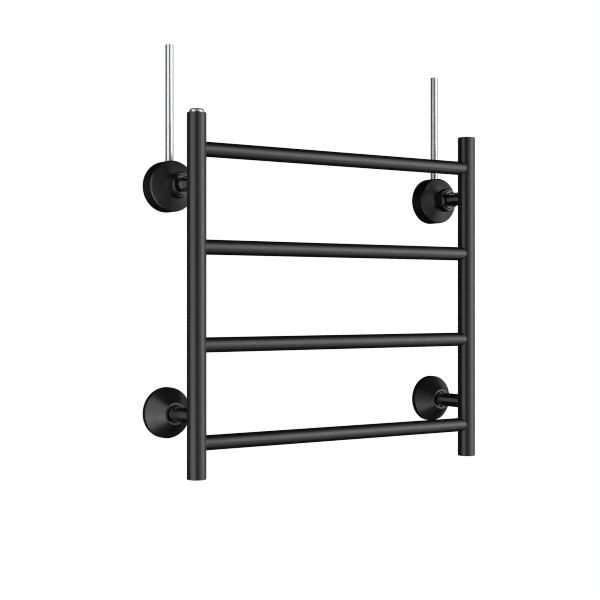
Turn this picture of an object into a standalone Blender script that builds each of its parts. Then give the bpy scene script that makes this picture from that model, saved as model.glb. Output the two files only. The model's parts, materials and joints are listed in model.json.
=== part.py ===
"""Wall-hung hot-water towel warmer: a ladder of round tubes on four wall brackets.

The origin is the middle of the rack on the wall plane. +X runs right along the wall, +Y runs into
the wall and +Z is up, so every piece lies at Y = 0 or in front of it. Units are metres.
"""
import math

import bmesh
import bpy
from mathutils import Matrix

MM = 0.001
GAP = 0.3 * MM                      # clearance kept between touching pieces

# ---------------------------------------------------------------- driving dimensions
RACK_HALF_WIDTH = 255 * MM          # middle of the rack to the axis of an upright
WALL_TO_LADDER = 96 * MM            # wall to the plane of the tube axes
HALF_HEIGHT = 263 * MM              # middle of the rack to the end of an upright
UPRIGHT_R = 14 * MM
UPRIGHT_WALL = 2 * MM
RUNG_R = 11 * MM                    # the rungs and the four stubs are the same tube
RUNG_WALL = 1.5 * MM
RUNG_PITCH = 141 * MM
RUNG_COUNT = 4
WATERWAY_R = 8 * MM                 # holes in the uprights behind the rungs and upper stubs
UPPER_BRACKET_Z = 163 * MM
LOWER_BRACKET_Z = -174 * MM

END_DISC = 2 * MM                   # discs that close the uprights
END_STEP = 3 * MM                   # their locating step inside the tube

CUP_R = 38 * MM                     # deep cup of an upper bracket
CUP_SIDE = 22.7 * MM                # length of its cylindrical side
CUP_CHAMFER = 1.9 * MM
CUP_FRONT = 34.2 * MM               # wall to the flat ring at the centre of its front
CUP_RING_R = 18.6 * MM
CUP_HOLE_R = 13.9 * MM
SHEET = 1.2 * MM                    # thickness of the cups and covers

PIPE_R = 6 * MM                     # chromed feed pipe
PIPE_WALL = 1 * MM
PIPE_TO_WALL = 13 * MM              # wall to the pipe's axis
PIPE_TOP_Z = 374 * MM

NUT_ACROSS_FLATS = 34 * MM          # union nut
NUT_FLANGE_R = 18.4 * MM
NUT_BACK = 34.5 * MM                # wall to the back of its flange
NUT_HEX_BACK = 36 * MM
NUT_HEX_FRONT = 51 * MM
NUT_FRONT = 56 * MM
NUT_MOUTH_R = 13.4 * MM
NUT_LIP_R = 3.5 * MM                # quarter-round between its hexagon and its mouth
NUT_SHOULDER = (47.3 * MM, 52.5 * MM)
NUT_THREAD_R = 13.5 * MM
CORNER_ROUNDING = 0.3 * MM          # how far a nut's blank stops short of its sharp corners

ELBOW_THREAD_R = 13.1 * MM          # brass inlet elbow inside the cup
ELBOW_BARREL_R = 12.2 * MM
ELBOW_FOOT_R = 14.5 * MM
ELBOW_FRONT = 41.5 * MM
ELBOW_BORE_R = 8.5 * MM
ELBOW_EAR_REACH = 17 * MM           # bracket axis to a screw hole in an ear
ELBOW_EAR_R = 7 * MM
ELBOW_EAR_THICK = 4 * MM
WALL_SCREW_HOLE_R = 2.6 * MM
BRANCH_R = 8.8 * MM                 # upward branch that takes the feed pipe
BRANCH_TOP = 22 * MM                # heights above the bracket axis
PIPE_SEAT = 12 * MM
PIPE_SOCKET_R = 6.35 * MM
SMALL_NUT_ACROSS_FLATS = 20 * MM    # compression nut
SMALL_NUT_BOTTOM = 15 * MM
SMALL_NUT_TOP = 28 * MM

COVER_R = 38 * MM                   # conical cover of a lower bracket
COVER_RIM = 8.4 * MM
COVER_FRONT = 32 * MM
COVER_FRONT_R = 16.4 * MM
COVER_MOUTH_R = 13.8 * MM           # widest part of the countersink in front of its bore
COVER_BORE_R = 12.6 * MM
COVER_GROOVE_R = 13.4 * MM
RING_SECTION_R = 0.95 * MM          # rubber ring in the cover's groove
RING_R = 12.25 * MM
RING_TO_WALL = 27.8 * MM

SOCKET_R = 23 * MM                  # wall socket inside a lower cover
SOCKET_THICK = 4 * MM
SPIGOT_R = 9.2 * MM
SPIGOT_FRONT = 40 * MM
SOCKET_HOLE_REACH = 17 * MM
LOWER_STUB_BACK = 6 * MM
GRUB_R = 2 * MM
GRUB_TO_WALL = 12 * MM

VENT_HEAD_R = 11 * MM               # chrome air vent on the left upright
VENT_HEAD_TOP_R = 9.2 * MM
VENT_HEAD = 5.2 * MM
VENT_SHANK_R = 8 * MM
VENT_SHANK = 9 * MM
VENT_BORE_R = 3.3 * MM
VENT_SEAT = 6.5 * MM                # below the top of the upright
VENT_SCREW_R = 3 * MM
VENT_OUTLET_R = 0.9 * MM
BOSS_DEPTH = 12 * MM
BOSS_RECESS_R = 10.6 * MM
BOSS_RECESS = 1.2 * MM

# ---------------------------------------------------------------- fineness of the round pieces
UPRIGHT_SIDES = 28
TUBE_SIDES = 24
CUP_SIDES = 36
PIPE_SIDES = 16
COVER_SIDES = 30
SMALL_SIDES = 12

SIDES = (("left", -1), ("right", 1))
ALONG_Z = Matrix.Identity(4)
DOWN = Matrix.Rotation(math.pi, 4, "X")             # local z runs down
FROM_WALL = Matrix.Rotation(math.pi / 2, 4, "X")    # local z runs away from the wall, y runs up
ALONG_X = Matrix.Rotation(math.pi / 2, 4, "Y")


def clear_scene():
    for thing in list(bpy.data.objects):
        bpy.data.objects.remove(thing, do_unlink=True)


# ---------------------------------------------------------------- materials
def principled(name, colour, roughness, metallic):
    material = bpy.data.materials.new(name)
    material.use_nodes = True
    shader = material.node_tree.nodes["Principled BSDF"]
    shader.inputs["Base Color"].default_value = (*colour, 1)
    shader.inputs["Roughness"].default_value = roughness
    shader.inputs["Metallic"].default_value = metallic
    return material


def make_materials():
    return {
        "black": principled("black_powder_coat", (0.012, 0.012, 0.013), 0.4, 0.0),
        "chrome": principled("polished_chrome", (0.75, 0.76, 0.78), 0.06, 1.0),
        "black_chrome": principled("black_chrome", (0.35, 0.35, 0.36), 0.1, 1.0),
        "brass": principled("brass", (0.62, 0.45, 0.2), 0.3, 1.0),
        "steel": principled("zinc_plated_steel", (0.5, 0.5, 0.52), 0.35, 1.0),
        "rubber": principled("black_rubber", (0.02, 0.02, 0.02), 0.8, 0.0),
    }


# ---------------------------------------------------------------- shapes
def mesh_from(bm, name):
    bmesh.ops.recalc_face_normals(bm, faces=bm.faces)
    mesh = bpy.data.meshes.new(name)
    bm.to_mesh(mesh)
    bm.free()
    mesh.shade_smooth()
    mesh.set_sharp_from_angle(angle=math.radians(30))
    return mesh


def turned(name, profile, sides):
    """Spin (radius, height) points about z. A profile off the axis closes on itself as a ring."""
    bm = bmesh.new()
    verts = [bm.verts.new((radius, 0, height)) for radius, height in profile]
    edges = [bm.edges.new(pair) for pair in zip(verts, verts[1:])]
    if profile[0][0] > 0:
        edges.append(bm.edges.new((verts[-1], verts[0])))
    bmesh.ops.spin(bm, geom=verts + edges, cent=(0, 0, 0), axis=(0, 0, 1),
                   angle=math.tau, steps=sides, use_merge=True)
    bmesh.ops.remove_doubles(bm, verts=bm.verts, dist=1e-6)
    return mesh_from(bm, name)


def rod(name, radius, bottom, top, sides):
    return turned(name, [(0, bottom), (radius, bottom), (radius, top), (0, top)], sides)


def tube(name, outer, inner, bottom, top, sides):
    return turned(name, [(outer, bottom), (outer, top), (inner, top), (inner, bottom)], sides)


def extruded(name, outline, bottom, top):
    """Prism of an outline of (x, y) points, from one height to the other."""
    bm = bmesh.new()
    face = bm.faces.new([bm.verts.new((x, y, bottom)) for x, y in outline])
    grown = bmesh.ops.extrude_face_region(bm, geom=[face])
    lifted = [item for item in grown["geom"] if isinstance(item, bmesh.types.BMVert)]
    bmesh.ops.translate(bm, verts=lifted, vec=(0, 0, top - bottom))
    return mesh_from(bm, name)


def arc(centre, radius, start, end, steps):
    """Points on an arc, with its angles in degrees."""
    turns = [math.radians(start + (end - start) * step / steps) for step in range(steps + 1)]
    return [(centre[0] + radius * math.cos(a), centre[1] + radius * math.sin(a)) for a in turns]


def hex_trimmer(name, across_flats, outer, bottom, top):
    """Thick ring with a hexagonal hole, whose corners lie on the local y axis."""
    bm = bmesh.new()
    corner = across_flats / 2 / math.cos(math.pi / 6)
    loops = []
    for radius, height in ((outer, bottom), (outer, top), (corner, top), (corner, bottom)):
        ring = [bm.verts.new((*point, height)) for point in arc((0, 0), radius, 30, 330, 5)]
        loops.append(ring)
    for ring, following in zip(loops, loops[1:] + loops[:1]):
        for k in range(6):
            bm.faces.new((ring[k], ring[k - 1], following[k - 1], following[k]))
    return mesh_from(bm, name)


# ---------------------------------------------------------------- objects
def add_object(name, mesh, place=(0, 0, 0), turn=ALONG_Z):
    thing = bpy.data.objects.new(name, mesh)
    bpy.context.scene.collection.objects.link(thing)
    thing.matrix_world = Matrix.Translation(place) @ turn
    return thing


def add_piece(name, mesh, material, place=(0, 0, 0), turn=ALONG_Z):
    piece = add_object(name, mesh, place, turn)
    mesh.materials.clear()
    mesh.materials.append(material)
    return piece


def add_cutter(name, shapes):
    """One hidden object from several separate shapes, each a mesh with its place and turn."""
    bm = bmesh.new()
    for mesh, place, turn in shapes:
        part = mesh.copy()
        part.transform(Matrix.Translation(place) @ turn)
        bm.from_mesh(part)
        bpy.data.meshes.remove(part)
    cutter = add_object(name, mesh_from(bm, name))
    cutter.hide_render = True
    cutter.display_type = "WIRE"
    return cutter


def boolean(piece, cutter, operation="DIFFERENCE"):
    modifier = piece.modifiers.new(cutter.name, "BOOLEAN")
    modifier.operation = operation
    modifier.object = cutter


def at(sign, height, from_wall=0.0):
    return (sign * RACK_HALF_WIDTH, -from_wall, height)


def rung_heights():
    top = RUNG_PITCH * (RUNG_COUNT - 1) / 2
    return [top - RUNG_PITCH * step for step in range(RUNG_COUNT)]


# ---------------------------------------------------------------- the ladder
def make_ladder_cutters():
    envelope = rod("envelope", UPRIGHT_R + GAP, -HALF_HEIGHT, HALF_HEIGHT, UPRIGHT_SIDES)
    uprights = [(envelope, at(sign, 0, WALL_TO_LADDER), ALONG_Z) for _, sign in SIDES]
    across = rod("across", WATERWAY_R, -RACK_HALF_WIDTH, RACK_HALF_WIDTH, SMALL_SIDES)
    inlet = rod("inlet", WATERWAY_R, WALL_TO_LADDER - 2 * UPRIGHT_R, WALL_TO_LADDER, SMALL_SIDES)
    ways = [(across, (0, -WALL_TO_LADDER, height), ALONG_X) for height in rung_heights()]
    ways += [(inlet, at(sign, UPPER_BRACKET_Z), FROM_WALL) for _, sign in SIDES]
    return add_cutter("upright_space", uprights), add_cutter("waterways", ways)


def make_uprights(paint, waterways):
    end = HALF_HEIGHT - END_DISC - GAP
    for side, sign in SIDES:
        mesh = tube(side + "_upright", UPRIGHT_R, UPRIGHT_R - UPRIGHT_WALL, -end, end, UPRIGHT_SIDES)
        upright = add_piece(side + "_upright", mesh, paint, at(sign, 0, WALL_TO_LADDER))
        boolean(upright, waterways)


def make_rungs(paint, upright_space):
    end = RACK_HALF_WIDTH - RUNG_R / 2
    for number, height in enumerate(rung_heights(), start=1):
        mesh = tube("rung", RUNG_R, RUNG_R - RUNG_WALL, -end, end, TUBE_SIDES)
        rung = add_piece(f"rung_{number}", mesh, paint, (0, -WALL_TO_LADDER, height), ALONG_X)
        boolean(rung, upright_space)


def make_end_discs(paint):
    step_r = UPRIGHT_R - UPRIGHT_WALL - GAP
    profile = [(0, 0), (UPRIGHT_R, 0), (UPRIGHT_R, END_DISC), (step_r, END_DISC),
               (step_r, END_DISC + END_STEP), (0, END_DISC + END_STEP)]
    mesh = turned("end_disc", profile, UPRIGHT_SIDES)
    for side, sign in SIDES:
        add_piece(side + "_bottom_disc", mesh, paint, at(sign, -HALF_HEIGHT, WALL_TO_LADDER))
    add_piece("right_top_disc", mesh, paint, at(1, HALF_HEIGHT, WALL_TO_LADDER), DOWN)


# ---------------------------------------------------------------- the air vent
def make_vent(looks):
    """Vent pieces, with heights counted from the top of the left upright."""
    top = at(-1, HALF_HEIGHT, WALL_TO_LADDER)
    step_r = UPRIGHT_R - UPRIGHT_WALL - GAP
    thread_r = VENT_SHANK_R + GAP
    boss = [(UPRIGHT_R, 0), (UPRIGHT_R, -END_DISC), (step_r, -END_DISC), (step_r, -BOSS_DEPTH),
            (thread_r, -BOSS_DEPTH), (thread_r, -BOSS_RECESS), (BOSS_RECESS_R, -BOSS_RECESS),
            (BOSS_RECESS_R, 0)]
    add_piece("left_top_boss", turned("boss", boss, UPRIGHT_SIDES), looks["black"], top)

    gasket = tube("vent_gasket", BOSS_RECESS_R - GAP, thread_r + GAP, GAP - BOSS_RECESS, 0, TUBE_SIDES)
    add_piece("vent_gasket", gasket, looks["rubber"], top)

    body = [(VENT_HEAD_R, GAP), (VENT_HEAD_R, VENT_HEAD * 0.6), (VENT_HEAD_TOP_R, VENT_HEAD),
            (VENT_BORE_R, VENT_HEAD), (VENT_BORE_R, -VENT_SEAT), (VENT_OUTLET_R, -VENT_SEAT),
            (VENT_OUTLET_R, -VENT_SHANK), (VENT_SHANK_R, -VENT_SHANK), (VENT_SHANK_R, GAP)]
    vent = add_piece("vent_body", turned("vent_body", body, TUBE_SIDES), looks["chrome"], top)
    outlet = rod("outlet", VENT_OUTLET_R, VENT_BORE_R / 2, 2 * VENT_HEAD_R, SMALL_SIDES)
    to_the_rear = Matrix.Rotation(math.radians(135), 4, "Z") @ ALONG_X
    height = HALF_HEIGHT + VENT_HEAD / 3
    boolean(vent, add_cutter("vent_outlet", [(outlet, at(-1, height, WALL_TO_LADDER), to_the_rear)]))

    tip = GAP - VENT_SEAT
    seal_top = tip + 1.2 * MM
    seal = rod("vent_seal", VENT_BORE_R - 0.7 * MM, tip, seal_top, SMALL_SIDES)
    add_piece("vent_seal", seal, looks["rubber"], top)

    head = VENT_HEAD - GAP
    chamfer = 0.4 * MM
    screw = [(0, seal_top + GAP), (VENT_SCREW_R - chamfer, seal_top + GAP),
             (VENT_SCREW_R, seal_top + GAP + chamfer), (VENT_SCREW_R, head - chamfer),
             (VENT_SCREW_R - chamfer, head), (0, head)]
    piece = add_piece("vent_screw", turned("vent_screw", screw, TUBE_SIDES), looks["steel"], top)
    slot_half = 0.5 * MM
    slot_depth = 1.3 * MM
    slot = [(-VENT_HEAD_R, -slot_half), (VENT_HEAD_R, -slot_half),
            (VENT_HEAD_R, slot_half), (-VENT_HEAD_R, slot_half)]
    blade = extruded("slot", slot, head - slot_depth, head + slot_depth)
    boolean(piece, add_cutter("vent_slot", [(blade, top, ALONG_Z)]))


# ---------------------------------------------------------------- the upper brackets
def make_cups(paint):
    """Deep cups: a plain side, a chamfer, a low cone and a flat ring round the hole."""
    inner = CUP_R - SHEET
    edge = CUP_R - CUP_CHAMFER
    profile = [(CUP_R, 0), (CUP_R, CUP_SIDE), (edge, CUP_SIDE + CUP_CHAMFER),
               (CUP_RING_R, CUP_FRONT), (CUP_HOLE_R, CUP_FRONT), (CUP_HOLE_R, CUP_FRONT - SHEET),
               (CUP_RING_R - GAP, CUP_FRONT - SHEET), (edge - SHEET / 2, CUP_SIDE + CUP_CHAMFER - SHEET),
               (inner, CUP_SIDE - SHEET / 2), (inner, 0)]
    notch_r = PIPE_R + 2 * GAP
    outline = [(-notch_r, 0.1 * CUP_R)] + arc((0, -PIPE_TO_WALL), notch_r, 180, 360, 8)
    outline += [(notch_r, 0.1 * CUP_R)]
    slot = extruded("notch", outline, CUP_R * 0.75, CUP_R * 1.25)
    notches = [(slot, at(sign, UPPER_BRACKET_Z), ALONG_Z) for _, sign in SIDES]
    cutter = add_cutter("pipe_notches", notches)
    for side, sign in SIDES:
        mesh = turned("cup", profile, CUP_SIDES)
        cup = add_piece(side + "_cup", mesh, paint, at(sign, UPPER_BRACKET_Z), FROM_WALL)
        boolean(cup, cutter)


def make_elbows(brass):
    """Brass elbows: a barrel out from the wall, two screw ears and a branch for the pipe."""
    thread_start = ELBOW_FRONT * 0.7
    barrel = [(0, 0), (ELBOW_FOOT_R, 0), (ELBOW_FOOT_R, 5 * MM), (ELBOW_BARREL_R, 5 * MM),
              (ELBOW_BARREL_R, thread_start), (ELBOW_THREAD_R, thread_start),
              (ELBOW_THREAD_R, ELBOW_FRONT), (0, ELBOW_FRONT)]
    outline = arc((ELBOW_EAR_REACH, 0), ELBOW_EAR_R, -90, 90, 8)
    outline += arc((-ELBOW_EAR_REACH, 0), ELBOW_EAR_R, 90, 270, 8)
    ear_mesh = extruded("ears", outline, 0, ELBOW_EAR_THICK)
    branch_mesh = rod("branch", BRANCH_R, 0, BRANCH_TOP, TUBE_SIDES)
    bore_mesh = rod("bore", ELBOW_BORE_R, 8 * MM, 2 * ELBOW_FRONT, TUBE_SIDES)
    hole_mesh = rod("hole", WALL_SCREW_HOLE_R, -ELBOW_EAR_THICK, 2 * ELBOW_EAR_THICK, SMALL_SIDES)
    way_r = PIPE_R - PIPE_WALL
    way = [(0, 0), (way_r, 0), (way_r, PIPE_SEAT), (PIPE_SOCKET_R, PIPE_SEAT),
           (PIPE_SOCKET_R, 2 * BRANCH_TOP), (0, 2 * BRANCH_TOP)]
    way_mesh = turned("way", way, PIPE_SIDES)

    bores, ways = [], []
    for _, sign in SIDES:
        bores.append((bore_mesh, at(sign, UPPER_BRACKET_Z), FROM_WALL))
        ways.append((way_mesh, at(sign, UPPER_BRACKET_Z, PIPE_TO_WALL), ALONG_Z))
        for x in ear_screw_positions(sign, ELBOW_EAR_REACH):
            bores.append((hole_mesh, (x, 0, UPPER_BRACKET_Z), FROM_WALL))
    bore_cutter = add_cutter("elbow_bores", bores)
    way_cutter = add_cutter("elbow_pipe_ways", ways)
    for side, sign in SIDES:
        centre = at(sign, UPPER_BRACKET_Z)
        branch_place = at(sign, UPPER_BRACKET_Z, PIPE_TO_WALL)
        elbow = add_piece(side + "_inlet_elbow", turned("elbow", barrel, TUBE_SIDES), brass,
                          centre, FROM_WALL)
        boolean(elbow, add_cutter(side + "_elbow_ears", [(ear_mesh, centre, FROM_WALL)]), "UNION")
        boolean(elbow, add_cutter(side + "_elbow_branch", [(branch_mesh, branch_place, ALONG_Z)]), "UNION")
        boolean(elbow, bore_cutter)
        boolean(elbow, way_cutter)


def make_pipe_joints(looks):
    """Feed pipes with the compression nut and olive that hold each one in its elbow."""
    corner = SMALL_NUT_ACROSS_FLATS / 2 / math.cos(math.pi / 6) - CORNER_ROUNDING
    thread_r = BRANCH_R + GAP
    cone_start = BRANCH_TOP + 2.2 * MM
    cone_end = SMALL_NUT_TOP - 1 * MM
    chamfer = 0.8 * MM
    nut = [(corner, SMALL_NUT_BOTTOM), (corner, SMALL_NUT_TOP - chamfer),
           (corner - 2 * chamfer, SMALL_NUT_TOP), (PIPE_SOCKET_R, SMALL_NUT_TOP),
           (PIPE_SOCKET_R, cone_end), (thread_r, cone_start), (thread_r, SMALL_NUT_BOTTOM)]
    olive = [(PIPE_R + GAP, BRANCH_TOP + GAP), (PIPE_R + 1.8 * MM, BRANCH_TOP + GAP),
             (PIPE_R + 2.2 * MM, BRANCH_TOP + 1.4 * MM), (PIPE_R + 0.7 * MM, BRANCH_TOP + 4 * MM),
             (PIPE_R + GAP, BRANCH_TOP + 4 * MM)]
    top = PIPE_TOP_Z - UPPER_BRACKET_Z
    trim = hex_trimmer("trim", SMALL_NUT_ACROSS_FLATS, 2 * corner, 0, 2 * SMALL_NUT_TOP)
    trims = [(trim, at(sign, UPPER_BRACKET_Z, PIPE_TO_WALL), ALONG_Z) for _, sign in SIDES]
    cutter = add_cutter("compression_nut_flats", trims)
    for side, sign in SIDES:
        place = at(sign, UPPER_BRACKET_Z, PIPE_TO_WALL)
        pipe = tube("pipe", PIPE_R, PIPE_R - PIPE_WALL, PIPE_SEAT + GAP, top, PIPE_SIDES)
        add_piece(side + "_feed_pipe", pipe, looks["chrome"], place)
        add_piece(side + "_olive", turned("olive", olive, PIPE_SIDES), looks["brass"], place)
        small = add_piece(side + "_compression_nut", turned("small_nut", nut, TUBE_SIDES),
                          looks["brass"], place)
        boolean(small, cutter)


def make_unions(looks, upright_space):
    """Union nuts, their flat gaskets and the collared stubs that they pull on to the elbows."""
    corner = NUT_ACROSS_FLATS / 2 / math.cos(math.pi / 6) - CORNER_ROUNDING
    shoulder_r = RUNG_R + 0.4 * MM
    step = NUT_HEX_BACK + GAP
    nut = [(NUT_FLANGE_R, NUT_BACK), (NUT_FLANGE_R, step), (corner, step),
           (corner, NUT_HEX_FRONT)]
    nut += arc((NUT_MOUTH_R, NUT_FRONT - NUT_LIP_R), NUT_LIP_R, 0, 90, 4)
    nut += [(NUT_MOUTH_R, NUT_SHOULDER[1]), (shoulder_r, NUT_SHOULDER[1]),
            (shoulder_r, NUT_SHOULDER[0]), (NUT_THREAD_R, NUT_SHOULDER[0]), (NUT_THREAD_R, NUT_BACK)]
    collar_front = NUT_SHOULDER[0] - GAP
    collar_back = collar_front - 3.7 * MM
    collar_r = NUT_THREAD_R - 0.5 * MM
    bore_r = RUNG_R - RUNG_WALL
    stub = [(collar_r, collar_back), (collar_r, collar_front), (RUNG_R, collar_front),
            (RUNG_R, WALL_TO_LADDER), (bore_r, WALL_TO_LADDER), (bore_r, collar_back)]
    trim = hex_trimmer("trim", NUT_ACROSS_FLATS, 2 * corner, NUT_HEX_BACK, 2 * NUT_FRONT)
    trims = [(trim, at(sign, UPPER_BRACKET_Z), FROM_WALL) for _, sign in SIDES]
    cutter = add_cutter("union_nut_flats", trims)
    for side, sign in SIDES:
        place = at(sign, UPPER_BRACKET_Z)
        mesh = turned("union_nut", nut, TUBE_SIDES)
        boolean(add_piece(side + "_union_nut", mesh, looks["black"], place, FROM_WALL), cutter)
        gasket = tube("gasket", collar_r, bore_r, ELBOW_FRONT + GAP, collar_back - GAP, TUBE_SIDES)
        add_piece(side + "_union_gasket", gasket, looks["rubber"], place, FROM_WALL)
        mesh = turned("stub", stub, TUBE_SIDES)
        piece = add_piece(side + "_upper_stub", mesh, looks["black_chrome"], place, FROM_WALL)
        boolean(piece, upright_space)


# ---------------------------------------------------------------- the lower brackets
def ear_screw_positions(sign, reach):
    return [sign * RACK_HALF_WIDTH - reach, sign * RACK_HALF_WIDTH + reach]


def make_lower_stubs(looks, upright_space):
    """Plain stubs on the spigots of the wall sockets, each locked by a grub screw from below."""
    hole = rod("grub_hole", GRUB_R + GAP, 0, 2 * RUNG_R, SMALL_SIDES)
    holes = [(hole, at(sign, LOWER_BRACKET_Z, GRUB_TO_WALL), DOWN) for _, sign in SIDES]
    cutter = add_cutter("grub_holes", holes)
    start = SPIGOT_R + GAP
    length = 3.5 * MM
    key_r = 1.1 * MM
    grub = [(0, start), (GRUB_R, start), (GRUB_R, start + length), (key_r, start + length),
            (key_r, start + length / 2), (0, start + length / 2)]
    for side, sign in SIDES:
        mesh = tube("stub", RUNG_R, RUNG_R - RUNG_WALL, LOWER_STUB_BACK, WALL_TO_LADDER, TUBE_SIDES)
        place = at(sign, LOWER_BRACKET_Z)
        stub = add_piece(side + "_lower_stub", mesh, looks["black_chrome"], place, FROM_WALL)
        boolean(stub, upright_space)
        boolean(stub, cutter)
        add_piece(side + "_grub_screw", turned("grub", grub, SMALL_SIDES), looks["steel"],
                  at(sign, LOWER_BRACKET_Z, GRUB_TO_WALL), DOWN)


def make_wall_sockets(steel):
    profile = [(0, 0), (SOCKET_R, 0), (SOCKET_R, SOCKET_THICK), (SPIGOT_R, SOCKET_THICK),
               (SPIGOT_R, SPIGOT_FRONT), (0, SPIGOT_FRONT)]
    hole = rod("hole", WALL_SCREW_HOLE_R, -SOCKET_THICK, 2 * SOCKET_THICK, SMALL_SIDES)
    holes = []
    for _, sign in SIDES:
        for x in ear_screw_positions(sign, SOCKET_HOLE_REACH):
            holes.append((hole, (x, 0, LOWER_BRACKET_Z), FROM_WALL))
    cutter = add_cutter("socket_screw_holes", holes)
    for side, sign in SIDES:
        socket = add_piece(side + "_wall_socket", turned("socket", profile, TUBE_SIDES), steel,
                           at(sign, LOWER_BRACKET_Z), FROM_WALL)
        boolean(socket, cutter)


def make_covers(looks):
    """Conical covers that slide along the lower stubs on a rubber ring held in a groove."""
    slope = math.atan2(COVER_FRONT - COVER_RIM, COVER_R - COVER_FRONT_R)
    inward, back = SHEET * math.sin(slope), SHEET * math.cos(slope)
    chamfer = 0.8 * MM
    sleeve_back = COVER_FRONT - 8 * MM
    sleeve_r = COVER_GROOVE_R + 1 * MM
    groove_half = RING_SECTION_R + 0.25 * MM
    flat = COVER_FRONT - 1.7 * MM
    profile = [(COVER_R, 0), (COVER_R, COVER_RIM), (COVER_R - chamfer, COVER_RIM + chamfer),
               (COVER_FRONT_R + chamfer, COVER_FRONT - chamfer), (COVER_FRONT_R, COVER_FRONT),
               (COVER_MOUTH_R, COVER_FRONT), (COVER_BORE_R, COVER_FRONT - (COVER_MOUTH_R - COVER_BORE_R)),
               (COVER_BORE_R, RING_TO_WALL + groove_half),
               (COVER_GROOVE_R, RING_TO_WALL + groove_half), (COVER_GROOVE_R, RING_TO_WALL - groove_half),
               (COVER_BORE_R, RING_TO_WALL - groove_half), (COVER_BORE_R, sleeve_back),
               (sleeve_r, sleeve_back), (sleeve_r, flat), (COVER_FRONT_R - GAP, flat),
               (COVER_R - chamfer - inward, COVER_RIM + chamfer - back), (COVER_R - SHEET, COVER_RIM - back),
               (COVER_R - SHEET, 0)]
    section = arc((RING_R, RING_TO_WALL), RING_SECTION_R, 0, 300, 5)
    for side, sign in SIDES:
        place = at(sign, LOWER_BRACKET_Z)
        mesh = turned("cover", profile, COVER_SIDES)
        add_piece(side + "_cover", mesh, looks["black"], place, FROM_WALL)
        add_piece(side + "_cover_ring", turned("ring", section, COVER_SIDES), looks["rubber"],
                  place, FROM_WALL)


def main():
    clear_scene()
    looks = make_materials()
    upright_space, waterways = make_ladder_cutters()
    make_uprights(looks["black"], waterways)
    make_rungs(looks["black"], upright_space)
    make_end_discs(looks["black"])
    make_vent(looks)
    make_cups(looks["black"])
    make_elbows(looks["brass"])
    make_pipe_joints(looks)
    make_unions(looks, upright_space)
    make_lower_stubs(looks, upright_space)
    make_wall_sockets(looks["steel"])
    make_covers(looks)


main()
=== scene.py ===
"""Looks of the wall-hung towel warmer: smooth tubes, turned cups, nuts, pipes, light and camera.

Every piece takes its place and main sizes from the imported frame. Details that the frame doesn't
hold, such as edge radii and weld size, are written in metres, by way of MM.
"""
import json
import math

import bmesh
import bpy
from mathutils import Matrix, Vector


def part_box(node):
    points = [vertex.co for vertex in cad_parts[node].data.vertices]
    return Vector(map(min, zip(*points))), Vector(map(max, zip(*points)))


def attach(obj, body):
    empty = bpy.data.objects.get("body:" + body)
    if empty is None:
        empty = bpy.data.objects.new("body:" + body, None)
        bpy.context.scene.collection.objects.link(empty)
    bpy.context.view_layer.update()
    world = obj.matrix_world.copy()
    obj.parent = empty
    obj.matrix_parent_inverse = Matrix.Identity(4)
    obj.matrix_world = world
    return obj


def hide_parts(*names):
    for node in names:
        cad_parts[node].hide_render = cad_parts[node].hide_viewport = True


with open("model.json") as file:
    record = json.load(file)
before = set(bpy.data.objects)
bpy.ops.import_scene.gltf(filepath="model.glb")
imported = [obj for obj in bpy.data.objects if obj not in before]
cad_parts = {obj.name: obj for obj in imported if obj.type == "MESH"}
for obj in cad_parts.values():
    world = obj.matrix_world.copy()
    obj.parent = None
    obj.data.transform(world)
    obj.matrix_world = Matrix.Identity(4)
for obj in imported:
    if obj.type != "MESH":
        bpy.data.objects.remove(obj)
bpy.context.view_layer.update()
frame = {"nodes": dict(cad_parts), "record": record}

MM = 0.001
SIDES = ("left", "right")

# ---------------------------------------------------------------- details that the frame doesn't hold
EDGE_R = 0.5 * MM                   # rounding of a tube's closed end
FINE_EDGE_R = 0.25 * MM             # rounding of a turned edge
WELD_LEG = 0.9 * MM                 # dressed weld between a tube and an upright
TUBE_WALL = 1.5 * MM
UPRIGHT_WALL = 2 * MM
ROUND = 96                          # sides of a large round piece
SMALL_ROUND = 48
FINE_ROUND = 128                    # sides of a cup or a cover
SHARP_ANGLE = math.radians(38)      # edges sharper than this stay sharp in shading

FROM_WALL = Matrix.Rotation(math.pi / 2, 4, "X")    # local z runs away from the wall, y runs up
UP = Matrix.Identity(4)
DOWN = Matrix.Rotation(math.pi, 4, "X")


# ---------------------------------------------------------------- what the frame says
def middle(node):
    low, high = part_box(node)
    return (low + high) / 2


def radius_of(node):
    """Half the width along x, which is exact on every turned piece of the frame."""
    low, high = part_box(node)
    return (high.x - low.x) / 2


def from_wall(node):
    """How far from the wall the node starts and ends."""
    low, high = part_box(node)
    return -high.y, -low.y


def bracket_place(node):
    centre = middle(node)
    return Vector((centre.x, 0, centre.z))


UPRIGHT_R = radius_of("left_upright")
LADDER_Y = middle("left_upright").y
TUBE_R = radius_of("left_lower_stub")
HALF_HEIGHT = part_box("right_top_disc")[1].z


# ---------------------------------------------------------------- materials
def new_material(name):
    material = bpy.data.materials.new(name)
    material.use_nodes = True
    tree = material.node_tree
    return material, tree, tree.nodes["Principled BSDF"]


def add_noise(tree, scale, detail, stretch=(1, 1, 1)):
    coordinates = tree.nodes.new("ShaderNodeTexCoord")
    mapping = tree.nodes.new("ShaderNodeMapping")
    mapping.inputs["Scale"].default_value = stretch
    noise = tree.nodes.new("ShaderNodeTexNoise")
    noise.inputs["Scale"].default_value = scale
    noise.inputs["Detail"].default_value = detail
    tree.links.new(coordinates.outputs["Object"], mapping.inputs["Vector"])
    tree.links.new(mapping.outputs["Vector"], noise.inputs["Vector"])
    return noise.outputs["Fac"]


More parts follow.
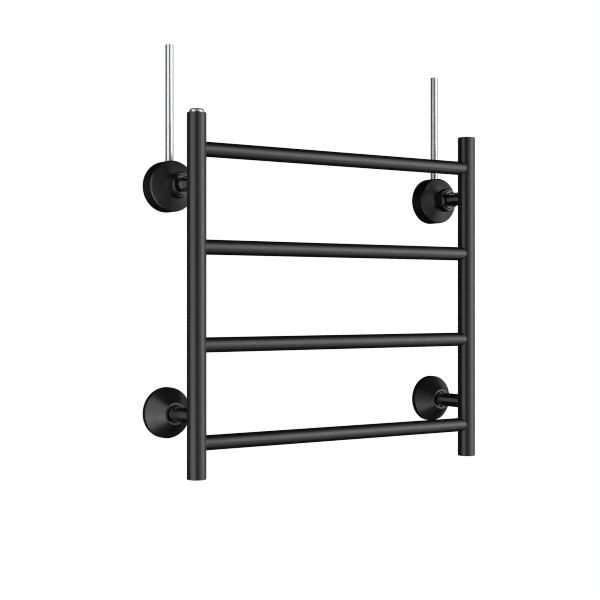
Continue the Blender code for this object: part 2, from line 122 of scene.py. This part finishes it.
def spread(tree, value, low, high):
    """Stretch a noise, which mostly stays between 0.3 and 0.7, over low to high."""
    node = tree.nodes.new("ShaderNodeMapRange")
    node.inputs["From Min"].default_value = 0.3
    node.inputs["From Max"].default_value = 0.7
    node.inputs["To Min"].default_value = low
    node.inputs["To Max"].default_value = high
    tree.links.new(value, node.inputs["Value"])
    return node.outputs["Result"]


def blend_colours(tree, value, first, second):
    ramp = tree.nodes.new("ShaderNodeValToRGB")
    ramp.color_ramp.elements[0].position = 0.35
    ramp.color_ramp.elements[1].position = 0.65
    ramp.color_ramp.elements[0].color = (*first, 1)
    ramp.color_ramp.elements[1].color = (*second, 1)
    tree.links.new(value, ramp.inputs["Fac"])
    return ramp.outputs["Color"]


def add_bump(tree, value, strength, depth, under=None):
    bump = tree.nodes.new("ShaderNodeBump")
    bump.inputs["Strength"].default_value = strength
    bump.inputs["Distance"].default_value = depth
    tree.links.new(value, bump.inputs["Height"])
    if under is not None:
        tree.links.new(under, bump.inputs["Normal"])
    return bump.outputs["Normal"]


def powder_coat(name, roughness):
    """Black coat with a fine grain over a soft orange-peel, a little uneven between two roughnesses."""
    material, tree, shader = new_material(name)
    colour = blend_colours(tree, add_noise(tree, 420, 3), (0.003, 0.003, 0.0032), (0.005, 0.005, 0.0052))
    peel = add_bump(tree, add_noise(tree, 420, 2), 0.05, 0.3 * MM)
    grain = add_bump(tree, add_noise(tree, 1900, 3), 0.10, 0.08 * MM, peel)
    tree.links.new(colour, shader.inputs["Base Color"])
    tree.links.new(spread(tree, add_noise(tree, 55, 4), *roughness), shader.inputs["Roughness"])
    tree.links.new(grain, shader.inputs["Normal"])
    shader.inputs["IOR"].default_value = 1.7
    return material


def drawn_metal(name, dark, light, roughness, stretch, metallic=1.0):
    """Metal with fine lines along the way it was drawn or turned, and a little uneven polish."""
    material, tree, shader = new_material(name)
    colour = blend_colours(tree, add_noise(tree, 90, 3), dark, light)
    lines = add_bump(tree, add_noise(tree, 900, 2, stretch), 0.03, 0.05 * MM)
    tree.links.new(colour, shader.inputs["Base Color"])
    tree.links.new(spread(tree, add_noise(tree, 130, 4), *roughness), shader.inputs["Roughness"])
    tree.links.new(lines, shader.inputs["Normal"])
    shader.inputs["Metallic"].default_value = metallic
    return material


def rubber():
    material, tree, shader = new_material("black_rubber")
    colour = blend_colours(tree, add_noise(tree, 700, 3), (0.012, 0.012, 0.012), (0.024, 0.024, 0.024))
    tree.links.new(colour, shader.inputs["Base Color"])
    tree.links.new(spread(tree, add_noise(tree, 300, 3), 0.65, 0.85), shader.inputs["Roughness"])
    tree.links.new(add_bump(tree, add_noise(tree, 2500, 2), 0.2, 0.05 * MM), shader.inputs["Normal"])
    return material


def make_materials():
    return {
        "black_paint": powder_coat("black_powder_coat", (0.35, 0.42)),
        "nut_paint": powder_coat("smooth_black_paint", (0.26, 0.31)),
        "chrome": drawn_metal("polished_chrome", (0.74, 0.75, 0.76), (0.80, 0.80, 0.81), (0.16, 0.22),
                              (1, 1, 0.02), metallic=0.72),
        "black_chrome": drawn_metal("black_chrome", (0.80, 0.80, 0.81), (0.86, 0.86, 0.87), (0.16, 0.22),
                                    (1, 0.02, 1)),
        "brass": drawn_metal("machined_brass", (0.55, 0.37, 0.15), (0.68, 0.49, 0.22), (0.22, 0.36),
                             (1, 0.05, 1)),
        "steel": drawn_metal("zinc_plated_steel", (0.42, 0.43, 0.45), (0.60, 0.61, 0.62), (0.28, 0.45),
                             (1, 0.05, 1)),
        "rubber": rubber(),
    }


# ---------------------------------------------------------------- profiles and meshes
def rounded(corners, closed=True):
    """Outline from (radius, along, edge radius) corners, each rounded by an arc.

    A point just before and after each arc keeps the faces beside it flat in shading.
    """
    points = []
    count = len(corners)
    for k, (r, h, edge) in enumerate(corners):
        here = Vector((r, h))
        ends = not closed and k in (0, count - 1)
        if edge <= 0 or ends:
            points.append(here)
            continue
        before = Vector(corners[k - 1][:2]) - here
        after = Vector(corners[(k + 1) % count][:2]) - here
        turn = math.pi - before.angle(after)
        run = min(edge * math.tan(turn / 2), 0.45 * before.length, 0.45 * after.length)
        start = here + before.normalized() * run
        end = here + after.normalized() * run
        guard = 0.4 * run
        if run + guard < 0.49 * before.length:
            points.append(start + before.normalized() * guard)
        steps = max(2, math.ceil(math.degrees(turn) / 15))
        for step in range(steps + 1):
            t = step / steps
            blend = start.lerp(here, t).lerp(here.lerp(end, t), t)
            points.append(blend)
        if run + guard < 0.49 * after.length:
            points.append(end + after.normalized() * guard)
    return [(p.x, p.y) for p in points]


def finish_mesh(bm, name):
    bmesh.ops.recalc_face_normals(bm, faces=bm.faces)
    mesh = bpy.data.meshes.new(name)
    bm.to_mesh(mesh)
    bm.free()
    mesh.shade_smooth()
    mesh.set_sharp_from_angle(angle=SHARP_ANGLE)
    return mesh


def turned(name, outline, sides=ROUND):
    """Spin (radius, height) points about z. An outline off the axis closes on itself as a ring."""
    bm = bmesh.new()
    rings = []
    for radius, height in outline:
        if radius == 0:
            rings.append([bm.verts.new((0, 0, height))] * sides)
            continue
        angles = [math.tau * k / sides for k in range(sides)]
        rings.append([bm.verts.new((radius * math.cos(a), radius * math.sin(a), height)) for a in angles])
    pairs = list(zip(rings, rings[1:]))
    if outline[0][0] > 0:
        pairs.append((rings[-1], rings[0]))
    for first, second in pairs:
        for k in range(sides):
            corners = [first[k - 1], first[k], second[k], second[k - 1]]
            bm.faces.new(dict.fromkeys(corners))
    return finish_mesh(bm, name)


def place_mesh(mesh, place, turn):
    """Bake a piece's place into its mesh, so its object sits at the origin as the frame's do."""
    mesh.transform(Matrix.Translation(place) @ turn)
    return mesh


def add_piece(name, mesh, material, body, slot, *nodes):
    piece = bpy.data.objects.new(name, mesh)
    bpy.context.scene.collection.objects.link(piece)
    mesh.materials.clear()
    mesh.materials.append(material)
    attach(piece, body)
    if nodes:
        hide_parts(*nodes)
    return piece


def apply_modifiers(piece):
    """Remove a helper object and return the mesh that its modifiers make of it."""
    graph = bpy.context.evaluated_depsgraph_get()
    mesh = bpy.data.meshes.new_from_object(piece.evaluated_get(graph))
    bpy.data.objects.remove(piece)
    return mesh


def combined(base, cutters, bevel=0.0):
    """Mesh of base with other meshes cut away, joined or intersected, then its edges bevelled."""
    thing = bpy.data.objects.new("work", base)
    bpy.context.scene.collection.objects.link(thing)
    helpers = []
    for mesh, operation in cutters:
        helper = bpy.data.objects.new("helper", mesh)
        bpy.context.scene.collection.objects.link(helper)
        modifier = thing.modifiers.new("boolean", "BOOLEAN")
        modifier.operation = operation
        modifier.object = helper
        helpers.append(helper)
    if bevel:
        modifier = thing.modifiers.new("bevel", "BEVEL")
        modifier.width = bevel
        modifier.segments = 3
        modifier.limit_method = "ANGLE"
        modifier.angle_limit = math.radians(25)
        modifier.harden_normals = False
    bpy.context.view_layer.update()
    mesh = apply_modifiers(thing)
    for helper in helpers:
        bpy.data.objects.remove(helper)
    mesh.shade_smooth()
    mesh.set_sharp_from_angle(angle=SHARP_ANGLE)
    return mesh


def hex_prism(across_flats, bottom, top):
    """Hexagonal bar along z, with a corner straight up along y."""
    bm = bmesh.new()
    corner = across_flats / 2 / math.cos(math.pi / 6)
    rings = []
    for height in (bottom, top):
        angles = [math.radians(30 + 60 * k) for k in range(6)]
        rings.append([bm.verts.new((corner * math.cos(a), corner * math.sin(a), height)) for a in angles])
    bm.faces.new(rings[0])
    bm.faces.new(rings[1])
    for k in range(6):
        bm.faces.new((rings[0][k - 1], rings[0][k], rings[1][k], rings[1][k - 1]))
    return finish_mesh(bm, "hexagon")


# ---------------------------------------------------------------- the ladder
def saddle(u, reach):
    """Distance along a tube to the surface of an upright whose axis crosses it at reach."""
    return reach - math.sqrt(UPRIGHT_R ** 2 - u ** 2)


def coped_end(bm, angles, reach, radius):
    """Rings of a tube's end from its plain wall, up the dressed weld and into the upright."""
    rings = []
    steps = 6
    for step in range(-1, steps + 2):
        t = min(max(step / steps, 0), 1)
        ring = []
        for a in angles:
            u, v = radius * math.cos(a), radius * math.sin(a)
            wide = (radius + WELD_LEG) / radius
            foot = saddle(u * wide, reach)
            start = Vector((u, v, saddle(u, reach) - WELD_LEG))
            corner = Vector((u, v, saddle(u, reach)))
            end = Vector((u * wide, v * wide, foot))
            point = start.lerp(corner, t).lerp(corner.lerp(end, t), t)
            if step < 0:
                point.z -= WELD_LEG / 2
            if step > steps:
                point.z += WELD_LEG
            ring.append(bm.verts.new(point))
        rings.append(ring)
    return rings


def bridge(bm, rings):
    for first, second in zip(rings, rings[1:]):
        for k in range(len(first)):
            bm.faces.new((first[k - 1], first[k], second[k], second[k - 1]))


def plain_ring(bm, angles, radius, height):
    return [bm.verts.new((radius * math.cos(a), radius * math.sin(a), height)) for a in angles]


def stub_tube(name, reach, outline):
    """A stub whose far end is coped to the upright; outline is its plain end, from inside to outside."""
    bm = bmesh.new()
    angles = [math.tau * k / ROUND for k in range(ROUND)]
    rings = [plain_ring(bm, angles, radius, height) for radius, height in outline]
    rings += coped_end(bm, angles, reach, TUBE_R)
    bore = TUBE_R - TUBE_WALL
    rings.append([bm.verts.new((bore * math.cos(a), bore * math.sin(a), saddle(bore * math.cos(a), reach)))
                  for a in angles])
    bridge(bm, rings + rings[:1])
    return finish_mesh(bm, name)


def rung_tube(name, half_width):
    """A rung along local z with both ends coped to the uprights."""
    bm = bmesh.new()
    angles = [math.tau * k / ROUND for k in range(ROUND)]
    far = coped_end(bm, angles, half_width, TUBE_R)
    near = coped_end(bm, angles, half_width, TUBE_R)
    for ring in near:
        for vert in ring:
            vert.co.z = -vert.co.z
    bore = TUBE_R - TUBE_WALL
    ends = []
    for sign in (1, -1):
        ends.append([bm.verts.new((bore * math.cos(a), bore * math.sin(a),
                                   sign * saddle(bore * math.cos(a), half_width))) for a in angles])
    rings = [ends[1]] + near[::-1] + far + [ends[0]]
    bridge(bm, rings + rings[:1])
    return finish_mesh(bm, name)


def make_ladder(looks):
    paint = looks["black_paint"]
    disc_low, disc_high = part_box("right_top_disc")
    joint = HALF_HEIGHT - (disc_high.z - disc_low.z) * 0.4
    bore = UPRIGHT_R - UPRIGHT_WALL
    for side in SIDES:
        centre = middle(side + "_upright")
        mesh = turned("upright", [(UPRIGHT_R, -joint), (UPRIGHT_R, joint), (bore, joint), (bore, -joint)])
        place_mesh(mesh, (centre.x, centre.y, 0), UP)
        add_piece(side + "_upright_tube", mesh, paint, "root", "black_paint", side + "_upright")
    closed = rounded([(0, 0, 0), (UPRIGHT_R, 0, EDGE_R), (UPRIGHT_R, HALF_HEIGHT - joint, 0),
                      (0, HALF_HEIGHT - joint, 0)], closed=False)
    for node, turn, end in (("left_bottom_disc", UP, -1), ("right_bottom_disc", UP, -1),
                            ("right_top_disc", DOWN, 1)):
        centre = middle(node)
        mesh = place_mesh(turned("end", closed), (centre.x, centre.y, end * HALF_HEIGHT), turn)
        add_piece(node + "_end", mesh, paint, "root", "black_paint", node)

    along_x = Matrix(((0, 0, 1, 0), (1, 0, 0, 0), (0, 1, 0, 0), (0, 0, 0, 1)))
    half_width = middle("right_upright").x
    for number in range(1, 5):
        node = f"rung_{number}"
        centre = middle(node)
        mesh = place_mesh(rung_tube("rung", half_width), (0, centre.y, centre.z), along_x)
        add_piece(node + "_tube", mesh, paint, "root", "black_paint", node)


# ---------------------------------------------------------------- the air vent
def make_vent(looks):
    top = Vector((middle("left_upright").x, LADDER_Y, HALF_HEIGHT))
    low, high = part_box("left_top_boss")
    joint = (high.z - low.z) - 2 * MM
    recess = 1.2 * MM
    recess_r = 10.6 * MM
    lip = 2 * MM
    spigot_r = 11.7 * MM
    thread_r = 8.3 * MM
    outline = rounded([(UPRIGHT_R, 0, EDGE_R), (UPRIGHT_R, -lip, 0), (spigot_r, -lip, 0),
                       (spigot_r, -joint, 0), (thread_r, -joint, 0), (thread_r, -recess, 0),
                       (recess_r, -recess, 0), (recess_r, 0, 0.15 * MM)])
    add_piece("vent_boss", place_mesh(turned("boss", outline), top, UP), looks["black_paint"], "root",
              "black_paint", "left_top_boss")

    head_r = radius_of("vent_body")
    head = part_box("vent_body")[1].z - HALF_HEIGHT
    crown = head_r - 1.8 * MM
    bore = 3.3 * MM
    seat = -6.5 * MM
    jet_r = 0.9 * MM
    bottom = -9 * MM
    plug_r = 8 * MM
    under_head = 0.02 * MM
    outline = rounded([(head_r, under_head, 0.2 * MM), (head_r, 0.58 * head, 0.5 * MM),
                       (crown, head, 0.4 * MM), (bore, head, 0.2 * MM), (bore, seat, 0), (jet_r, seat, 0),
                       (jet_r, bottom, 0), (plug_r, bottom, 0.5 * MM), (plug_r, under_head, 0)])
    add_piece("vent_plug", place_mesh(turned("vent", outline), top, UP), looks["chrome"], "root", "chrome",
              "vent_body")

    low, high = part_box("vent_screw")
    screw_r = radius_of("vent_screw")
    outline = rounded([(0, low.z - HALF_HEIGHT, 0), (screw_r, low.z - HALF_HEIGHT, 0.4 * MM),
                       (screw_r, high.z - HALF_HEIGHT, 0.4 * MM), (0, high.z - HALF_HEIGHT, 0)], closed=False)
    blade = bpy.data.meshes.new("blade")
    bm = bmesh.new()
    bmesh.ops.create_cube(bm, size=1, matrix=Matrix.Translation((0, 0, high.z - HALF_HEIGHT))
                          @ Matrix.Diagonal((20 * MM, 1 * MM, 2.6 * MM, 1)))
    bm.to_mesh(blade)
    bm.free()
    mesh = combined(turned("screw", outline, SMALL_ROUND), [(blade, "DIFFERENCE")], 0.08 * MM)
    add_piece("vent_screw_body", place_mesh(mesh, top, UP), looks["steel"], "vent_screw", "steel",
              "vent_screw")


# ---------------------------------------------------------------- the upper brackets
def cup_mesh(side):
    """Deep cup: plain side, rounded shoulder, crowned face and flat ring, with a notch for the pipe."""
    node = side + "_cup"
    radius = radius_of(node)
    front = from_wall(node)[1]
    sheet = 1.2 * MM
    shoulder = 24.9 * MM
    shoulder_r = 4.2 * MM
    crown_r, crown = 27.5 * MM, 30.3 * MM
    ring_r = 18.6 * MM
    hole_r = 13.9 * MM
    outline = rounded([
        (radius, 0, FINE_EDGE_R), (radius, shoulder, shoulder_r), (crown_r, crown, 60 * MM),
        (ring_r, front, 0.6 * MM), (hole_r, front, FINE_EDGE_R), (hole_r, front - sheet, 0),
        (ring_r - 0.3 * MM, front - sheet, 0), (crown_r - 0.5 * MM, crown - sheet, 0),
        (radius - sheet, shoulder - 0.7 * sheet, shoulder_r - sheet), (radius - sheet, 0, FINE_EDGE_R)])
    pipe_r = radius_of(side + "_feed_pipe")
    pipe_y = middle(side + "_feed_pipe").y
    notch_r = pipe_r + 0.6 * MM
    bm = bmesh.new()
    loop = [(-notch_r, 4 * MM), (notch_r, 4 * MM)]
    loop += [(notch_r * math.cos(a), pipe_y + notch_r * math.sin(a))
             for a in (math.radians(-180 * k / 24) for k in range(25))]
    face = bm.faces.new([bm.verts.new((x, y, 0.75 * radius)) for x, y in loop])
    grown = bmesh.ops.extrude_face_region(bm, geom=[face])
    lifted = [item for item in grown["geom"] if isinstance(item, bmesh.types.BMVert)]
    bmesh.ops.translate(bm, verts=lifted, vec=(0, 0, 0.5 * radius))
    notch = finish_mesh(bm, "notch")
    base = turned("cup", outline, FINE_ROUND)
    base.transform(FROM_WALL)
    mesh = combined(base, [(notch, "DIFFERENCE")])
    return place_mesh(mesh, bracket_place(node), UP)


def union_nut_mesh(side):
    """Hexagonal nut with a round flange behind, chamfered corners and a coned collar round its mouth."""
    node = side + "_union_nut"
    back, front = from_wall(node)
    flats = 34 * MM
    mouth_r = 13.5 * MM
    thread_r = 13.5 * MM
    shoulder = 47.3 * MM
    neck_r = 11.4 * MM
    hex_back = back + 1.5 * MM
    hex_front = front - 3.4 * MM
    corner = flats / 2 / math.cos(math.pi / 6) - 0.15 * MM
    blank = [(10 * MM, hex_back - 1 * MM), (corner, hex_back - 1 * MM), (corner, hex_front - 1.3 * MM),
             (flats / 2 + 0.1 * MM, hex_front), (15.9 * MM, hex_front), (14.7 * MM, front), (10 * MM, front)]
    prism = hex_prism(flats, hex_back, 2 * front)
    flange = rounded([(radius_of(node), back, 0.3 * MM), (radius_of(node), hex_back + 0.2 * MM, 0.9 * MM),
                      (10 * MM, hex_back + 0.2 * MM, 0), (10 * MM, back, 0)])
    mouth = turned("mouth", [(0, front - 3.5 * MM), (mouth_r, front - 3.5 * MM), (mouth_r, 2 * front),
                             (0, 2 * front)])
    bore = turned("bore", [(0, 0), (thread_r, 0), (thread_r, shoulder), (neck_r, shoulder),
                           (neck_r, front), (0, front)])
    mesh = combined(turned("blank", blank), [(prism, "INTERSECT"), (turned("flange", flange), "UNION"),
                                             (mouth, "DIFFERENCE"), (bore, "DIFFERENCE")], 0.25 * MM)
    return place_mesh(mesh, bracket_place(side + "_cup"), FROM_WALL)


def make_upper_brackets(looks):
    for side in SIDES:
        place = bracket_place(side + "_cup")
        add_piece(side + "_cup_shell", cup_mesh(side), looks["black_paint"], "root", "black_paint",
                  side + "_cup")
        add_piece(side + "_hex_union", union_nut_mesh(side), looks["nut_paint"], "root", "black_paint",
                  side + "_union_nut")

        back = from_wall(side + "_upper_stub")[0]
        collar = back + 3.7 * MM
        outline = [(TUBE_R - TUBE_WALL, back), (13 * MM, back), (13 * MM, collar), (TUBE_R, collar)]
        mesh = place_mesh(stub_tube("stub", -LADDER_Y, outline), place, FROM_WALL)
        add_piece(side + "_inlet_stub", mesh, looks["black_chrome"], "root", "black_chrome",
                  side + "_upper_stub")

        low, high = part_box(side + "_feed_pipe")
        pipe_r = radius_of(side + "_feed_pipe")
        bore = pipe_r - 1 * MM
        outline = rounded([(pipe_r, low.z, 0), (pipe_r, high.z, 0.2 * MM), (bore, high.z, 0.15 * MM),
                           (bore, low.z, 0)])
        mesh = turned("pipe", outline, SMALL_ROUND)
        place_mesh(mesh, (place.x, middle(side + "_feed_pipe").y, 0), UP)
        add_piece(side + "_chrome_pipe", mesh, looks["chrome"], "root", "chrome", side + "_feed_pipe")


# ---------------------------------------------------------------- the lower brackets
def cover_mesh(side):
    """Cone that narrows from its rim at the wall to a ring round the stub, grooved inside its bore."""
    node = side + "_cover"
    radius = radius_of(node)
    front = from_wall(node)[1]
    rim = 8.4 * MM
    face_r = 16.4 * MM
    bore = 12.6 * MM
    groove = 13.4 * MM
    outline = rounded([
        (radius, 0, FINE_EDGE_R), (radius, rim, 0.5 * MM), (face_r + 0.4 * MM, front - 0.4 * MM, 0.3 * MM),
        (face_r, front, 0.3 * MM), (bore + 1.2 * MM, front, 0.15 * MM), (bore, front - 1.2 * MM, 0.15 * MM),
        (bore, front - 3 * MM, 0),
        (groove, front - 3 * MM, 0), (groove, front - 5.4 * MM, 0), (bore, front - 5.4 * MM, 0),
        (bore, front - 8 * MM, 0), (14.4 * MM, front - 8 * MM, 0), (14.4 * MM, front - 1.7 * MM, 0),
        (face_r - 0.3 * MM, front - 1.7 * MM, 0), (radius - 1.2 * MM, rim - 0.9 * MM, 0.3 * MM),
        (radius - 1.2 * MM, 0, FINE_EDGE_R)])
    return place_mesh(turned("cover", outline, FINE_ROUND), bracket_place(node), FROM_WALL)


def make_lower_brackets(looks):
    for side in SIDES:
        place = bracket_place(side + "_lower_stub")
        add_piece(side + "_cone_cover", cover_mesh(side), looks["black_paint"], side + "_cover",
                  "black_paint", side + "_cover")
        back = from_wall(side + "_lower_stub")[0]
        outline = [(TUBE_R - TUBE_WALL, back), (TUBE_R, back)]
        mesh = place_mesh(stub_tube("stub", -LADDER_Y, outline), place, FROM_WALL)
        add_piece(side + "_support_stub", mesh, looks["black_chrome"], "root", "black_chrome",
                  side + "_lower_stub")


# ---------------------------------------------------------------- carried-over nodes
def dress_frame_nodes(looks):
    """Nodes that keep their frame shape get the finish of their material slot."""
    for entry in frame["record"]["subparts"]:
        node = frame["nodes"][entry["node"]]
        if node.hide_render:
            continue
        node.data.materials.clear()
        node.data.materials.append(looks[entry["material_slot"]])


# ---------------------------------------------------------------- floor, light and camera
CAMERA_PLACE = (-1.1462, -1.6952, -0.00575)
CAMERA_TURN = 33.774                # degrees to the right of straight at the wall
LENS = 76.33                        # focal length in millimetres on a sensor 36 mm wide
SURROUND = 0.003                    # strength of the weak white surround that lights the rack
SHARPNESS = 1.0                     # width of the pixel filter, in pixels
TARGET = Vector((0, LADDER_Y, 0))


def make_floor():
    """Pale floor that glows evenly and stays out of the rack's light, so that it shows no shadow."""
    bm = bmesh.new()
    bmesh.ops.create_grid(bm, x_segments=1, y_segments=1, size=1.8)
    floor = bpy.data.objects.new("floor", finish_mesh(bm, "floor"))
    bpy.context.scene.collection.objects.link(floor)
    floor.location.z = -1.0
    floor.visible_glossy = False
    floor.visible_diffuse = False
    floor.visible_shadow = False
    material, _, shader = new_material("pale_floor")
    shader.inputs["Base Color"].default_value = (0.9, 0.9, 0.9, 1)
    shader.inputs["Emission Color"].default_value = (1, 1, 1, 1)
    shader.inputs["Emission Strength"].default_value = 1.0
    floor.data.materials.append(material)


def make_world():
    """White to the camera and nearly dark to everything else, so that the softboxes light the rack."""
    world = bpy.data.worlds.new("studio")
    bpy.context.scene.world = world
    world.use_nodes = True
    tree = world.node_tree
    background = tree.nodes["Background"]
    background.inputs["Color"].default_value = (1, 1, 1, 1)
    backdrop = tree.nodes.new("ShaderNodeBackground")
    backdrop.inputs["Color"].default_value = (1, 1, 1, 1)
    background.inputs["Strength"].default_value = SURROUND
    path = tree.nodes.new("ShaderNodeLightPath")
    mix = tree.nodes.new("ShaderNodeMixShader")
    tree.links.new(path.outputs["Is Camera Ray"], mix.inputs["Fac"])
    tree.links.new(background.outputs["Background"], mix.inputs[1])
    tree.links.new(backdrop.outputs["Background"], mix.inputs[2])
    tree.links.new(mix.outputs["Shader"], tree.nodes["World Output"].inputs["Surface"])


def softbox(name, azimuth, distance, width, low, high, radiance):
    """Upright panel turned level towards the rack's middle line, with its sizes in metres.

    Azimuth 0 is straight in front of the rack and positive is to the right, in degrees. Low and
    high are the heights of its bottom and top over the middle of the rack. Radiance is in watts
    per square metre and steradian.
    """
    a = math.radians(azimuth)
    away = Vector((math.sin(a), -math.cos(a), 0))
    data = bpy.data.lights.new(name, "AREA")
    data.shape = "RECTANGLE"
    data.size = width
    data.size_y = high - low
    data.energy = radiance * math.pi * data.size * data.size_y
    light = bpy.data.objects.new(name, data)
    bpy.context.scene.collection.objects.link(light)
    light.location = TARGET + away * distance + Vector((0, 0, (high + low) / 2))
    light.rotation_euler = (-away).to_track_quat("-Z", "Y").to_euler()
    light.visible_camera = False


def make_lights():
    softbox("left_panel", -81, 0.8, 0.6, -1.0, 0.6, 1.4)
    softbox("low_left_panel", -60, 2.0, 0.7, -1.2, -0.5, 2.3)
    softbox("lowest_left_panel", -45, 2.0, 0.7, -3.4, -2.0, 2.5)
    softbox("near_low_left_panel", -48, 1.2, 0.25, -1.6, -0.9, 2.2)
    softbox("right_panel", 45, 3.5, 2.5, -0.8, 1.6, 2.3)
    softbox("wide_right_panel", 50, 1.7, 7.5, -1.8, 1.6, 0.4)
    softbox("high_right_panel", 50, 2.0, 0.7, 1.1, 2.0, 0.9)
    softbox("low_right_panel", 65, 2.0, 0.7, -1.2, -0.5, 1.0)
    softbox("high_panel", 15, 4.0, 3.0, 1.0, 5.5, 1.0)
    softbox("front_panel", 0, 2.0, 0.7, -0.4, 0.4, 0.4)
    softbox("low_panel", 35, 1.0, 0.9, -6.0, -0.3, 0.25)
    softbox("back_left_panel", -147, 2.5, 1.4, -0.9, 0.9, 0.055)


def make_camera():
    data = bpy.data.cameras.new("camera")
    data.lens = LENS
    data.sensor_width = 36
    camera = bpy.data.objects.new("camera", data)
    bpy.context.scene.collection.objects.link(camera)
    camera.location = CAMERA_PLACE
    camera.rotation_euler = (math.pi / 2, 0, -math.radians(CAMERA_TURN))
    bpy.context.scene.camera = camera


looks = make_materials()
make_ladder(looks)
make_vent(looks)
make_upper_brackets(looks)
make_lower_brackets(looks)
dress_frame_nodes(looks)
make_floor()
make_world()
make_lights()
make_camera()
bpy.context.scene.view_settings.view_transform = "Standard"
bpy.context.scene.cycles.filter_width = SHARPNESS
